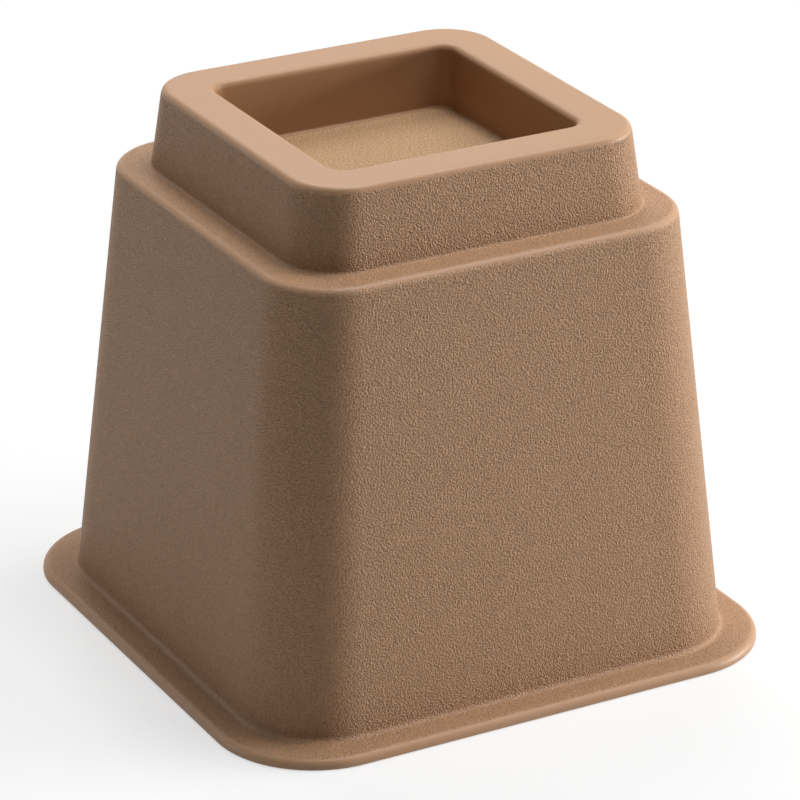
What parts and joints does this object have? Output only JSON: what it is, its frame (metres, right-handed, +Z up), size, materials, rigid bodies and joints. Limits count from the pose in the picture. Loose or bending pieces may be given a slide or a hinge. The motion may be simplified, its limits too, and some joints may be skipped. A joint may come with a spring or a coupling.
{
  "type": "bed riser",
  "caption": "Square tapered plastic bed riser on a wide flange, with a stepped collar whose top has a shallow square cup for a furniture leg.",
  "frame": {"origin": "middle of the base, on the floor face", "axes": "+Z up through the middle of the cup, +X and +Y square to two of the sides"},
  "size_m": [0.1594, 0.1594, 0.1447],
  "materials": {
    "moulded_polypropylene": "satin"
  },
  "bodies": {
    "root": {"bed_riser": "moulded_polypropylene"}
  },
  "joints": []
}
